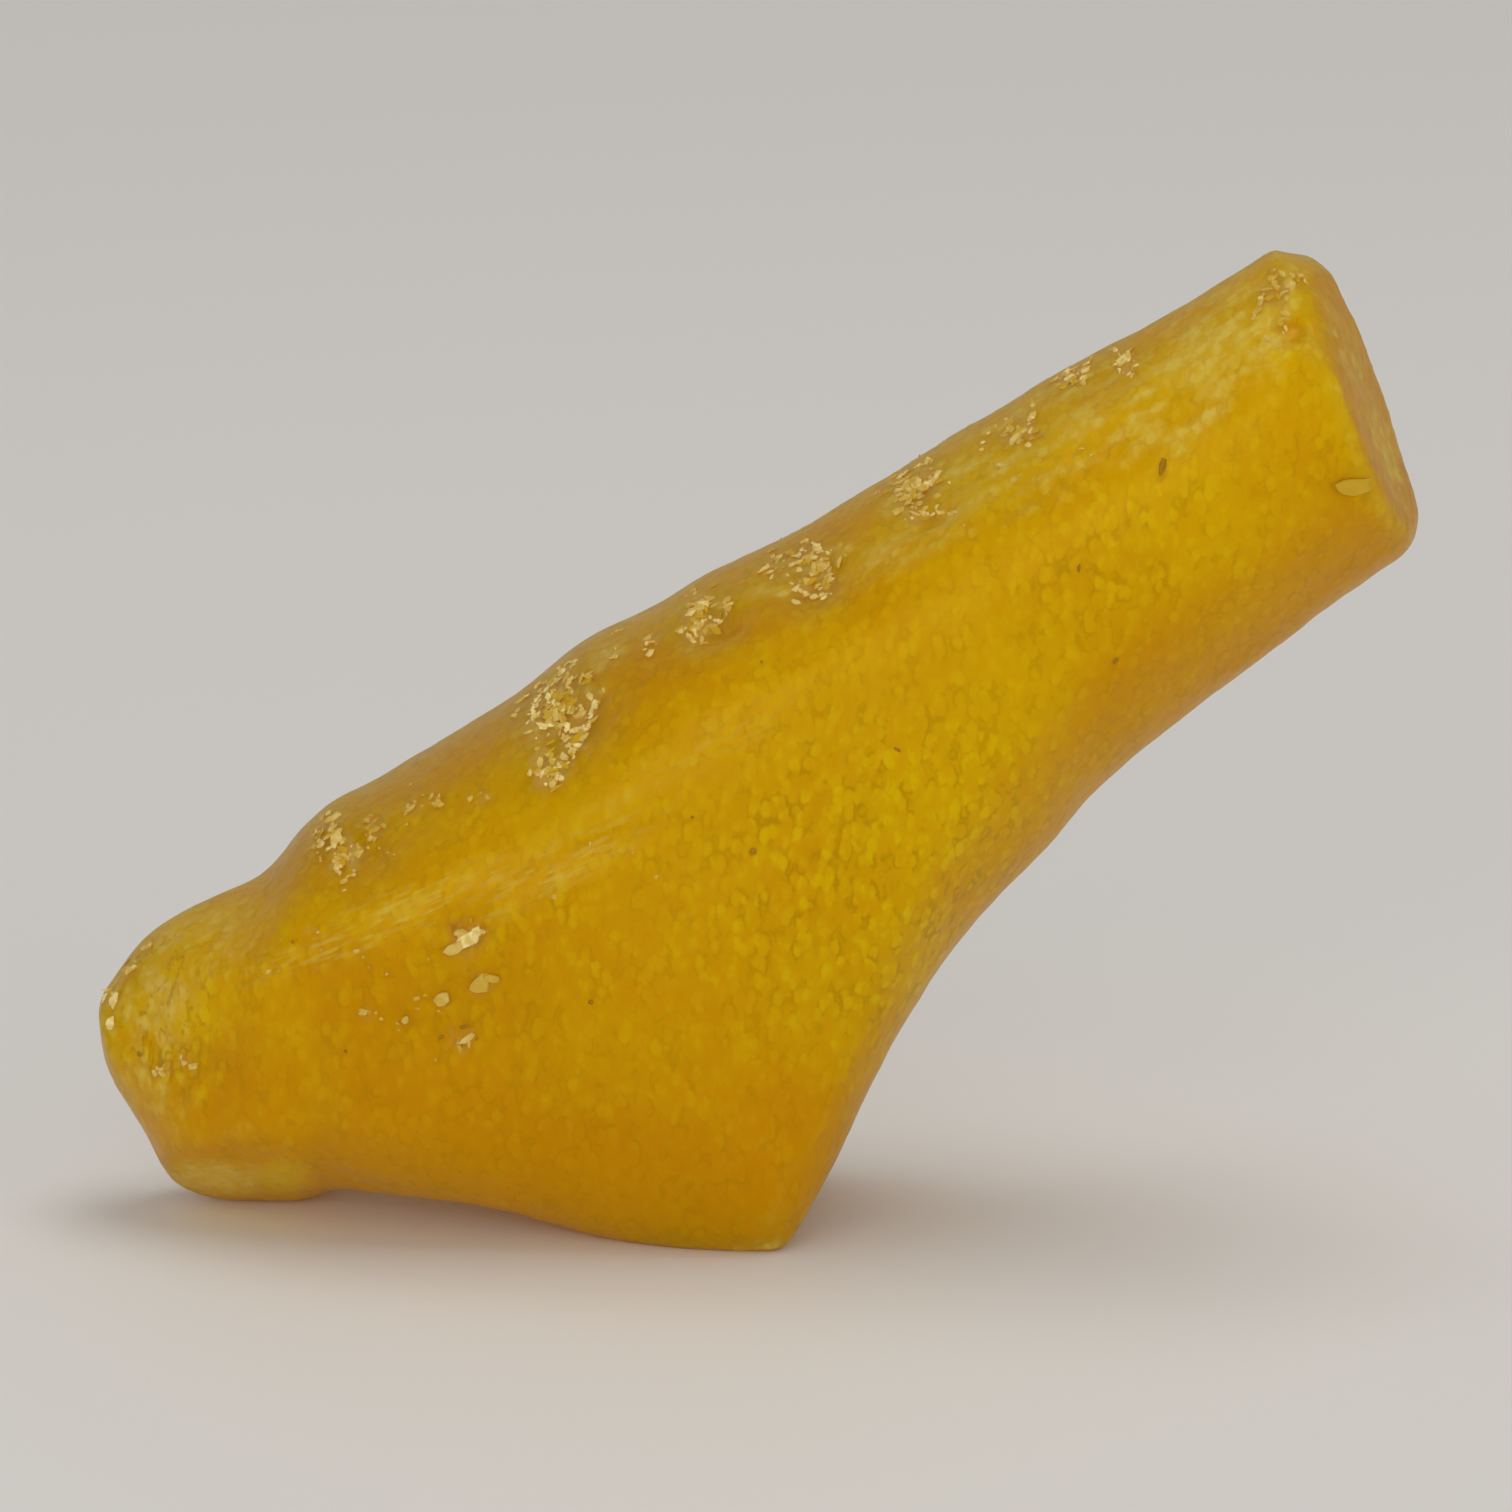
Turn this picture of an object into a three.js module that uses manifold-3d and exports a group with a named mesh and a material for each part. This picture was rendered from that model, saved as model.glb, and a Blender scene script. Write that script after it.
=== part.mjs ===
// Raw amber: one boot-shaped lump of fossil resin, in millimetres, +Z up.
// It stands on the flat under its heel and on a small lobe at its toe, with an arm
// that leans up to the right. Its broad face looks along -Y.

import * as THREE from "three";
import { mergeVertices } from "three/addons/utils/BufferGeometryUtils.js";
import { ImprovedNoise } from "three/addons/math/ImprovedNoise.js";
import Module from "manifold-3d";

// The outline is drawn square to a line of sight that looks down by this angle.
// u runs right, v up and w towards the eye, from the front of the heel.
const sightTilt = THREE.MathUtils.degToRad(15);
const middleBehindHeel = 7.2;

// The two long edges of the lump, from the blunt tip of the toe to past the arm's end.
const topEdge = [
  [-27.9, 10.9], [-27.3, 11.8], [-26.1, 13.3], [-24.2, 14.6], [-21.9, 15.6], [-20.7, 16.4],
  [-19.5, 17.9], [-18.2, 19.1], [-16.1, 20.2], [-12.8, 22.2], [-9.8, 24.1], [-8.3, 25.4],
  [-6.8, 26.4], [-4.7, 27.3], [-2.6, 28.6], [1.6, 30.6], [5.4, 33.0], [8.3, 34.7],
  [12.5, 37.2], [17.6, 39.9], [21.0, 42.0], [26.0, 45.0],
];
const bottomEdge = [
  [-28.0, 9.6], [-27.7, 7.9], [-26.9, 6.4], [-25.9, 4.6], [-25.0, 3.0], [-23.5, 2.3],
  [-21.5, 2.1], [-19.8, 2.0], [-18.5, 2.5], [-17.7, 2.7], [-14.4, 2.4], [-11.0, 1.9],
  [-7.2, 0.8], [-4.3, 0.2], [-1.0, -0.1], [0.6, 0.1], [1.6, 1.3], [3.1, 4.0],
  [5.0, 8.0], [7.9, 12.7], [10.0, 15.2], [12.1, 17.3], [14.2, 19.7], [18.4, 23.2],
  [22.6, 26.4], [26.4, 29.1], [31.0, 32.0],
];

// Cross-sections from toe to arm. top and bottom count points of the edges above, and
// steps is how many sections lead up to this one. The depths are from the lump's middle
// plane, + towards the eye: the two rims, the front face and the back face. The rest is
// how wide each face's slope or rounding is beside the rims.
const sections = [
  { top: 0, bottom: 0, steps: 0, topRim: 0.2, bottomRim: 0.3, front: 2.0, back: -1.8,
    topSlope: 0.8, topRound: 0.8, bottomRound: 0.8, underside: 0.8 },
  { top: 3, bottom: 4, steps: 8, topRim: -1.6, bottomRim: -0.8, front: 5.0, back: -5.0,
    topSlope: 4.0, topRound: 3.2, bottomRound: 3.4, underside: 2.2 },
  { top: 6, bottom: 7, steps: 9, topRim: -3.0, bottomRim: -2.0, front: 6.3, back: -6.7,
    topSlope: 4.2, topRound: 3.4, bottomRound: 3.8, underside: 0.7 },
  { top: 9, bottom: 11, steps: 11, topRim: -3.6, bottomRim: 3.6, front: 7.8, back: -8.1,
    topSlope: 5.4, topRound: 4.2, bottomRound: 3.4, underside: 4.2 },
  { top: 14, bottom: 15, steps: 14, topRim: -3.6, bottomRim: 6.2, front: 8.3, back: -8.0,
    topSlope: 6.0, topRound: 4.4, bottomRound: 2.4, underside: 2.6 },
  { top: 16, bottom: 20, steps: 16, topRim: -3.2, bottomRim: 1.6, front: 7.3, back: -6.9,
    topSlope: 6.4, topRound: 4.4, bottomRound: 5.0, underside: 4.4 },
  { top: 18, bottom: 23, steps: 10, topRim: -2.8, bottomRim: 0.6, front: 6.4, back: -6.1,
    topSlope: 6.6, topRound: 4.2, bottomRound: 5.2, underside: 4.2 },
  { top: 21, bottom: 26, steps: 10, topRim: -2.4, bottomRim: 0.4, front: 5.9, back: -5.6,
    topSlope: 6.6, topRound: 4.0, bottomRound: 5.2, underside: 4.0 },
];
const frontPoints = 26;
const backPoints = 20;
const faceCrown = 1.5; // how much further the middle of a face stands out than its sides
const widestSlope = 0.5; // of a section's length

// How each slope beside a rim is shaped, from 0 for a straight one to 1 for a quarter round.
const roundness = { topSlope: 0.88, bottomRound: 1, topRound: 0.95, underside: 0.3 };

// Long low ridges and grooves of the front face, where the resin ran: from one point of the
// face to another, with the height (below 0 for a groove) and the half-width.
const flowLines = [
  { from: [-20.6, 12.2], to: [-9.8, 17.0], height: 0.42, width: 0.85 },
  { from: [-9.8, 17.0], to: [-3.0, 20.8], height: 0.38, width: 0.8 },
  { from: [-12.2, 13.7], to: [-5.0, 17.6], height: 0.4, width: 0.75 },
  { from: [-17.6, 15.6], to: [-5.2, 21.6], height: -0.35, width: 0.9 },
  { from: [-11.0, 15.1], to: [-4.2, 18.8], height: -0.22, width: 0.6 },
  { from: [2.4, 27.6], to: [12.6, 32.6], height: 0.3, width: 0.8 },
  { from: [4.2, 25.8], to: [17.0, 33.6], height: 0.26, width: 0.9 },
  { from: [11.8, 31.2], to: [20.6, 37.4], height: -0.3, width: 1.0 },
  { from: [21.4, 38.8], to: [20.4, 34.6], height: 0.35, width: 0.9 },
];

// Shallow hollows of the front face: centre, radius and depth.
const frontHollows = [
  { at: [-15.0, 9.8], radius: 4.6, depth: 0.55 },
  { at: [-24.2, 9.2], radius: 2.6, depth: 0.35 },
  { at: [2.2, 9.0], radius: 6.0, depth: 0.4 },
  { at: [23.6, 32.2], radius: 3.0, depth: 0.3 },
];

// Flat breaks that limit how far a face stands out: the depth at a point and how much it
// grows for each millimetre right and up.
const backBreaks = [
  { at: [-6.0, 21.0], depth: 6.6, growth: [0.08, -0.3] },
  { at: [-20.0, 9.0], depth: 4.9, growth: [0.34, -0.06] },
  { at: [5.0, 10.0], depth: 6.4, growth: [-0.3, 0.14] },
  { at: [13.0, 29.0], depth: 5.4, growth: [-0.1, -0.12] },
  { at: [-9.0, 6.0], depth: 6.7, growth: [-0.06, 0.3] },
];
const frontBreaks = [
  { at: [-24.5, 9.0], depth: 3.9, growth: [0.6, 0.05] },
  { at: [-22.4, 4.0], depth: 3.9, growth: [0.5, 1.2] },
  { at: [21.5, 37.5], depth: 5.4, growth: [-0.2, -0.16] },
];

// Waviness of the skin, coarse to fine: height and wavelength.
const waves = [
  { height: 0.34, length: 8.5 },
  { height: 0.13, length: 3.2 },
];
const frontWaves = 7.3; // places in the noise, one for each face
const backWaves = 14.6;

// The broken end of the arm, as flat cuts: a point of each and the way it faces.
const endBreaks = [
  { at: [26.5, 34.7, -1.0], faces: [0.92, 0.274, 0.3] },
  { at: [26.5, 34.7, -1.0], faces: [0.92, 0.274, -0.28] },
  { at: [24.5, 39.8, -1.4], faces: [0.84, 0.43, 0.33] },
  { at: [24.5, 39.8, -1.4], faces: [0.84, 0.43, -0.32] },
  { at: [23.2, 41.6, -2.0], faces: [0.58, 0.79, 0.18] },
  { at: [22.3, 42.0, -2.2], faces: [0.2, 0.97, 0.12] },
  { at: [27.35, 31.0, 0.4], faces: [0.98, -0.1, 0.14] },
  { at: [27.0, 29.7, 0.6], faces: [0.86, -0.49, 0.1] },
];

// Chips knocked out along the upper shoulder and the arm's rim: place on the front face,
// radius of the scoop, and how far its middle stands off the skin as a share of that.
const chips = [
  { at: [-8.4, 23.2], radius: 2.5, proud: 0.68 },
  { at: [-8.6, 20.5], radius: 1.6, proud: 0.7 },
  { at: [-17.4, 17.5], radius: 1.9, proud: 0.7 },
  { at: [-14.6, 18.9], radius: 1.0, proud: 0.66 },
  { at: [-12.9, 19.2], radius: 0.9, proud: 0.66 },
  { at: [-2.5, 27.0], radius: 1.9, proud: 0.7 },
  { at: [2.1, 28.7], radius: 1.8, proud: 0.7 },
  { at: [6.4, 32.0], radius: 2.0, proud: 0.7 },
  { at: [10.8, 34.9], radius: 1.5, proud: 0.72 },
  { at: [13.8, 37.1], radius: 1.5, proud: 0.72 },
  { at: [-12.6, 13.4], radius: 1.5, proud: 0.74 },
  { at: [-12.5, 11.4], radius: 1.3, proud: 0.74 },
  { at: [-13.0, 9.2], radius: 1.1, proud: 0.72 },
  { at: [22.0, 39.6], radius: 1.6, proud: 0.72 },
  { at: [24.9, 32.2], radius: 1.5, proud: 0.78 },
];

// A chip's scoop: how uneven it is, how fine its unevenness is, how it is stretched along
// and across the shoulder, and the turn that lays it along the shoulder.
const chipForm = { uneven: 0.5, fineness: 1.9, along: 1.15, across: 0.95, turn: 0.52 };

const cutSize = 60; // side of the blocks that make the flat cuts
const noise = new ImprovedNoise();
const lerp = THREE.MathUtils.lerp;
const clamp01 = (x) => THREE.MathUtils.clamp(x, 0, 1);

function edgeCurve(points) {
  const line = points.map(([u, v]) => new THREE.Vector3(u, v, 0));
  return new THREE.CatmullRomCurve3(line, false, "centripetal");
}

// A point of an edge between two of its numbered points.
function edgePoint(curve, from, to, share) {
  return curve.getPoint(lerp(from, to, share) / (curve.points.length - 1));
}

// 0 at a rim and 1 past the slope beside it: straight, or a quarter round.
function rise(distance, width, roundness) {
  const x = clamp01(distance / width);
  return lerp(x, Math.sqrt(1 - (1 - x) ** 2), roundness);
}

function waviness(u, v, place) {
  return waves.reduce(
    (sum, { height, length }) => sum + height * noise.noise(u / length, v / length, place),
    0,
  );
}

// The flow lines' height at a point. Each fades out just past its two ends.
function flowHeight(u, v) {
  const pastEnds = 1.2;
  let sum = 0;
  for (const { from, to, height, width } of flowLines) {
    const du = to[0] - from[0];
    const dv = to[1] - from[1];
    const along = ((u - from[0]) * du + (v - from[1]) * dv) / (du * du + dv * dv);
    const off = Math.hypot(u - from[0] - along * du, v - from[1] - along * dv);
    const fade = clamp01(pastEnds - Math.abs(2 * along - 1));
    sum += height * fade * Math.exp(-((off / width) ** 2));
  }
  return sum;
}

function hollowDepth(u, v) {
  return frontHollows.reduce((sum, { at, radius, depth }) => {
    const off = Math.hypot(u - at[0], v - at[1]) / radius;
    return sum + (off < 1 ? depth * (1 - off * off) ** 2 : 0);
  }, 0);
}

// The least of a depth and the flat breaks that cut into it.
function brokenDepth(depth, breaks, u, v) {
  return breaks.reduce(
    (least, { at, depth: d, growth }) =>
      Math.min(least, d + growth[0] * (u - at[0]) + growth[1] * (v - at[1])),
    depth,
  );
}

// One closed section: down the front from the top rim to the bottom rim, and up the back.
function sectionLoop(s, top, bottom) {
  const long = top.distanceTo(bottom);
  const loop = [];

  // How far one slope still holds the skin back from its face, from 1 at the rim to 0.
  const heldBack = (slope, distance) =>
    1 - rise(distance, Math.min(s[slope], long * widestSlope), roundness[slope]);
  const place = (share, front) => {
    const { x: u, y: v } = bottom.clone().lerp(top, share);
    const fromTop = (1 - share) * long;
    const fromBottom = share * long;
    const crown = faceCrown * (2 * share - 1) ** 2;
    let w;
    if (front) {
      const relief = waviness(u, v, frontWaves) + flowHeight(u, v) - hollowDepth(u, v);
      const face = brokenDepth(s.front - crown, frontBreaks, u, v) + relief;
      const topGap = (face - s.topRim) * heldBack("topSlope", fromTop);
      const bottomGap = (face - s.bottomRim) * heldBack("bottomRound", fromBottom);
      w = face - topGap - bottomGap;
    } else {
      const face = -brokenDepth(-s.back - crown, backBreaks, u, v) - waviness(u, v, backWaves);
      const topGap = (s.topRim - face) * heldBack("topRound", fromTop);
      const bottomGap = (s.bottomRim - face) * heldBack("underside", fromBottom);
      w = face + topGap + bottomGap;
    }
    loop.push(new THREE.Vector3(u, v, w + v * Math.tan(sightTilt) - middleBehindHeel));
  };
  for (let i = 0; i < frontPoints; i++) {
    place((1 + Math.cos((Math.PI * i) / frontPoints)) / 2, true);
  }
  for (let i = 0; i < backPoints; i++) {
    place((1 - Math.cos((Math.PI * i) / backPoints)) / 2, false);
  }
  return loop;
}

function allSections() {
  const top = edgeCurve(topEdge);
  const bottom = edgeCurve(bottomEdge);
  const loops = [sectionLoop(sections[0], top.getPoint(0), bottom.getPoint(0))];
  for (let k = 1; k < sections.length; k++) {
    const a = sections[k - 1];
    const b = sections[k];
    for (let i = 1; i <= b.steps; i++) {
      const share = i / b.steps;
      const eased = share * share * (3 - 2 * share);
      const s = {};
      for (const key of Object.keys(a)) s[key] = lerp(a[key], b[key], eased);
      loops.push(
        sectionLoop(
          s,
          edgePoint(top, a.top, b.top, share),
          edgePoint(bottom, a.bottom, b.bottom, share),
        ),
      );
    }
  }
  return loops;
}

// The skin over all the sections, with a fan of triangles over each end.
function loft(loops) {
  const ring = loops[0].length;
  const corners = loops.flat();
  const faces = [];
  for (let k = 0; k + 1 < loops.length; k++) {
    for (let i = 0; i < ring; i++) {
      const a = k * ring + i;
      const b = k * ring + ((i + 1) % ring);
      faces.push(a, b, a + ring, b, b + ring, a + ring);
    }
  }
  const last = (loops.length - 1) * ring;
  for (const [start, flip] of [[0, true], [last, false]]) {
    const middle = new THREE.Vector3();
    for (let i = 0; i < ring; i++) middle.addScaledVector(corners[start + i], 1 / ring);
    const hub = corners.push(middle) - 1;
    for (let i = 0; i < ring; i++) {
      const a = start + i;
      const b = start + ((i + 1) % ring);
      faces.push(...(flip ? [b, a, hub] : [a, b, hub]));
    }
  }
  const geometry = new THREE.BufferGeometry().setFromPoints(corners);
  geometry.setIndex(faces);
  return geometry;
}

// A block that fills everything beyond a flat cut.
function beyond({ at, faces }) {
  const block = new THREE.BoxGeometry(cutSize, cutSize, cutSize);
  block.translate(0, 0, cutSize / 2);
  const turn = new THREE.Quaternion().setFromUnitVectors(
    new THREE.Vector3(0, 0, 1),
    new THREE.Vector3(...faces).normalize(),
  );
  block.applyQuaternion(turn);
  const [u, v, w] = at;
  block.translate(u, v, w + v * Math.tan(sightTilt) - middleBehindHeel);
  return block;
}

// An uneven flat-sided pebble, the shape that a knocked-out chip leaves behind.
function chipShape({ at, radius, proud }, number, frontSkin) {
  const nearest = frontSkin.reduce((best, p) =>
    Math.hypot(p.x - at[0], p.y - at[1]) < Math.hypot(best.x - at[0], best.y - at[1]) ? p : best,
  );
  const pebble = new THREE.IcosahedronGeometry(radius, 1);
  const position = pebble.getAttribute("position");
  const corner = new THREE.Vector3();
  for (let i = 0; i < position.count; i++) {
    corner.fromBufferAttribute(position, i);
    const spot = corner.clone().multiplyScalar(chipForm.fineness / radius);
    const lump = noise.noise(spot.x + number * Math.E, spot.y, spot.z + number * Math.PI);
    corner.multiplyScalar(1 + chipForm.uneven * lump);
    position.setXYZ(i, corner.x * chipForm.along, corner.y * chipForm.across, corner.z);
  }
  pebble.rotateZ(chipForm.turn);
  pebble.translate(at[0], at[1], nearest.z + radius * proud);
  return pebble;
}

const wasm = await Module();
wasm.setup();

function solid(geometry) {
  const bare = geometry.clone();
  bare.deleteAttribute("normal");
  bare.deleteAttribute("uv");
  const merged = mergeVertices(bare, 1e-4);
  return new wasm.Manifold(
    new wasm.Mesh({
      numProp: 3,
      vertProperties: merged.getAttribute("position").array,
      triVerts: new Uint32Array(merged.index.array),
    }),
  );
}

function surface(made) {
  const mesh = made.getMesh();
  const geometry = new THREE.BufferGeometry();
  geometry.setAttribute("position", new THREE.BufferAttribute(mesh.vertProperties, 3));
  geometry.setIndex(new THREE.BufferAttribute(mesh.triVerts, 1));
  return geometry;
}

function amberGeometry() {
  const loops = allSections();
  const frontSkin = loops.flatMap((loop) => loop.slice(0, frontPoints));
  let lump = solid(loft(loops));
  for (const cut of endBreaks) lump = lump.subtract(solid(beyond(cut)));
  chips.forEach((chip, number) => {
    lump = lump.subtract(solid(chipShape(chip, number, frontSkin)));
  });

  // Stand it up: the sight line tips to the horizontal, and the ground cuts the flats it rests on.
  const upright = surface(lump);
  upright.rotateX(Math.PI / 2 - sightTilt);
  const ground = new THREE.BoxGeometry(cutSize * 2, cutSize * 2, cutSize);
  ground.translate(0, 0, -cutSize / 2);
  const standing = surface(solid(upright).subtract(solid(ground)));

  // The origin is the middle of the foot of its bounding box.
  standing.computeBoundingBox();
  const middle = standing.boundingBox.getCenter(new THREE.Vector3());
  standing.translate(-middle.x, -middle.y, -standing.boundingBox.min.z);
  standing.computeVertexNormals();
  return standing;
}

const amberResin = new THREE.MeshStandardMaterial({
  color: 0xc08f0a,
  roughness: 0.32,
  metalness: 0,
  transparent: true,
  opacity: 0.8,
});

const amber = new THREE.Mesh(amberGeometry(), amberResin);
amber.name = "amber";

const rawAmber = new THREE.Group();
rawAmber.add(amber);

export default rawAmber;
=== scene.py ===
import math
import random

import bpy
import numpy as np
from mathutils import Euler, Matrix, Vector, noise


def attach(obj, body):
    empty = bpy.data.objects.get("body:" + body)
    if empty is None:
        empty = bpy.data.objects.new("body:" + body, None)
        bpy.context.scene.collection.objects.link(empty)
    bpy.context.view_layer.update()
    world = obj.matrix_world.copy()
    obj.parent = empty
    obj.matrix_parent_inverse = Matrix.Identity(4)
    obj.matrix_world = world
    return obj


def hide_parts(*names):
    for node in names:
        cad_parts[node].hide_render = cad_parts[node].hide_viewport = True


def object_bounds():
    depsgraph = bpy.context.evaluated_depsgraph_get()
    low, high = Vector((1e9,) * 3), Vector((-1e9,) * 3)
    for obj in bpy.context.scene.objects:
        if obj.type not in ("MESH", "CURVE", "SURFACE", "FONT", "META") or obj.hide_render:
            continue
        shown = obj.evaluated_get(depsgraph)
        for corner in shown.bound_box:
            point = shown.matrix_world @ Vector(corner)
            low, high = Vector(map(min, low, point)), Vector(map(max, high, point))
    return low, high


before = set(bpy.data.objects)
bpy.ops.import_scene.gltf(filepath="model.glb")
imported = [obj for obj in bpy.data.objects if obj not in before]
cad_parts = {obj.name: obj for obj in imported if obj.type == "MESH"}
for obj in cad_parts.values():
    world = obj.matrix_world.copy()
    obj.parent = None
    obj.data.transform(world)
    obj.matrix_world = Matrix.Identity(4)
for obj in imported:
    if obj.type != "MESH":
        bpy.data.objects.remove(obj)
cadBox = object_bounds()
print("frame loaded")

mm = 0.001
farOff = 100  # mm, added on the wrong side of the lump, so that no place there is the nearest

# The line of sight: how far it looks down, and where the heel first touches the floor.
# Places on the front are given square to it, in mm from there: u right and v up.
sight = {
    "down": math.radians(15),
    "heelFront": (0.262, -6.879, 0.0),
    "midPlane": 7.2,  # mm behind the heel's front
}


def deselectAll():
    for thing in bpy.context.selected_objects:
        thing.select_set(False)


def makeActive(thing):
    deselectAll()
    thing.select_set(True)
    bpy.context.view_layer.objects.active = thing


def applyModifiers(thing):
    makeActive(thing)
    for modifier in list(thing.modifiers):
        bpy.ops.object.modifier_apply(modifier=modifier.name)


def smoothStep(value, low, high):
    x = np.clip((value - low) / (high - low), 0, 1)
    return x * x * (3 - 2 * x)


def vertexArrays(thing):
    count = len(thing.data.vertices)
    places = np.empty(count * 3)
    normals = np.empty(count * 3)
    thing.data.vertices.foreach_get("co", places)
    thing.data.vertices.foreach_get("normal", normals)
    return places.reshape(-1, 3), normals.reshape(-1, 3)


def onPicture(places, normals):
    # u, v and how much each vertex faces the eye
    sine, cosine = math.sin(sight["down"]), math.cos(sight["down"])
    x, y, z = (places / mm - np.array(sight["heelFront"])).T
    facing = -normals[:, 1] * cosine + normals[:, 2] * sine
    return x, y * sine + z * cosine, facing


def towardsEye(places):
    # how far each place is along the line of sight, in mm
    sine, cosine = math.sin(sight["down"]), math.cos(sight["down"])
    return (places[:, 2] * sine - places[:, 1] * cosine) / mm


def onSide(facing, side):
    return facing if side == "front" else -facing


# the lump

amberLump = {
    "weld": 0.001 * mm,
    "voxel": 0.25 * mm,
    "smoothShare": 0.5,  # how far each round of smoothing goes
    "smoothing": 10,
    "ridgeSmoothing": 240,
    "swell": {"size": 4.5 * mm, "height": 0.2 * mm},
    "ripple": {"size": 1.5 * mm, "height": 0.07 * mm},
    "chipCells": {"size": 0.5 * mm, "height": 0.14 * mm},
    "midLevel": 0.5,
    "chipEdge": 0.3,  # chip faces past this stay flat
    "finerEdge": 0.15,  # and faces past this are split finer
    "chip": {
        "edge": (0.7, 1.1),  # from and to these shares of its radius it fades out
        "haze": (0.4, 1.6),  # and so does the crushed resin round it
        "waves": ((3, 2, 0.22), (5, 3, 0.14)),  # round its rim: how many, their shift and height
        "depthShare": 0.5,  # how much it is cut short where the skin slopes away
        "leastFacing": 0.05,
    },
    "patch": {"edge": (0.3, 1.3), "leastFacing": -0.15},
    # cloudy tones: size in mm, drawn out at a lean in degrees
    "clouds": {
        "body": {"size": 6.0},
        "mottle": {"size": 0.8, "stretch": (1, 1, 1.7), "octaves": 2, "seed": 3.0},
        "streaked": {"size": 0.5, "stretch": (3.5, 1.5, 1), "seed": 7.0, "lean": 28},
        "cloudy": {"size": 0.8, "stretch": (1, 1, 1.8), "seed": 5.0},
        "haze": {"size": 0.5, "seed": 11.0},
    },
    "contrast": 0.45,
    "frost": {
        "toe": (-21.0, -17.0),  # along u, where the toe's look gives way to the body's
        "end": (31.5, 35.5),  # along v, where the broken end's begins
        "endStrength": 0.1,
        "streaked": (0.43, 0.6),
        "cloudy": (0.3, 0.6),
        "haze": (0.34, 0.6),
        "solid": (1.2, 2.4),  # patches this strong lose their texture
        "least": 0.12,
        "most": 1.4,
    },
    "toeCracks": {
        "across": (0.9, 0.9, 0.25),  # how close together they come along each axis
        "width": 0.05,  # in the noise's own tones
        "patches": [((-25.4, 10.6), (2.8, 4.6), 8, 1.0), ((-21.0, 12.4), (3.0, 2.4), 30, 0.6)],
    },
    "brokenEnd": {"sideways": (0.55, 0.85), "along": (19.0, 21.0)},
    # painted shade: darker, deeper orange on the up-facing band, low down, underneath and on the
    # broken end
    "depth": {
        "up": (0.3, 0.85),
        "upShare": 0.3,
        "low": (1.5, 10.0),
        "lowShare": 0.9,
        "under": (0.1, 0.7),
        "patchShare": 0.6,
        "endShare": 0.7,
    },
    "leastCrazed": 0.5,
    # the smoothed skin this gives sets worn frost on proud places, painted shade in hollows and
    # on the up-facing band
    "wearAndShade": {"smoothing": 40, "height": 0.12},  # mm that count as fully proud or hollow
    # painted glints on the chips' small faces
    "glint": {
        "size": 0.45,
        "edge": (0.02, 0.25),
        "shuffle": 7.0,
        "gain": 2.2,
        "cut": 0.9,
        "leastChip": 0.05,
        "chip": (0.1, 0.4),
    },
}

# Chips along the shoulder, the rim and the faces: place, radius and how strong.
# Places on the back are given as if seen through the lump.
chips = {"front": [
    ((-8.4, 23.3), 1.75, 1.0),
    ((-8.9, 20.6), 0.95, 0.9),
    ((-7.9, 21.6), 0.6, 0.8),
    ((-17.4, 17.0), 0.75, 0.8),
    ((-18.4, 18.0), 0.9, 0.6),
    ((-16.2, 18.2), 0.6, 0.5),
    ((-14.6, 18.9), 0.4, 0.35),
    ((-13.6, 19.2), 0.25, 0.35),
    ((-11.6, 19.3), 0.3, 0.35),
    ((-2.5, 26.9), 1.15, 0.8),
    ((-4.6, 26.0), 0.35, 0.6),
    ((2.1, 28.8), 1.25, 0.8),
    ((0.6, 29.3), 0.6, 0.5),
    ((6.3, 32.1), 1.3, 0.75),
    ((10.7, 34.7), 0.9, 0.6),
    ((12.9, 36.9), 0.6, 0.9),
    ((15.0, 37.4), 0.55, 0.9),
    ((-12.3, 13.4), 0.8, 0.35),
    ((-11.7, 11.6), 0.5, 0.3),
    ((-12.5, 9.2), 0.55, 0.3),
    ((-16.5, 10.3), 0.25, 0.35),
    ((21.3, 40.2), 0.75, 0.45),
    ((22.3, 41.0), 0.4, 0.5),
    ((21.4, 38.8), 0.4, 0.35),
    # on the toe: small chips whose pale crumbs also stand in for its painted highlights
    ((-25.0, 7.9), 0.25, 0.6),
    ((-24.2, 8.3), 0.2, 0.5),
    ((-27.4, 10.9), 0.35, 0.9),
    ((-26.7, 12.2), 0.3, 0.5),
], "back": [
    ((-15.0, 17.5), 0.8, 0.8),
    ((-13.2, 18.6), 0.4, 0.6),
    ((-5.8, 23.6), 1.2, 0.9),
    ((-4.0, 22.4), 0.5, 0.7),
    ((3.2, 28.0), 0.9, 0.8),
    ((10.8, 32.6), 1.1, 0.8),
    ((12.9, 33.9), 0.4, 0.6),
    ((18.6, 37.2), 0.7, 0.7),
    ((-9.6, 12.0), 0.7, 0.7),
    ((-8.8, 10.6), 0.4, 0.5),
    ((15.6, 30.0), 0.5, 0.6),
    ((1.6, 8.2), 0.6, 0.7),
    ((-21.5, 9.4), 0.5, 0.6),
]}

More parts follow.
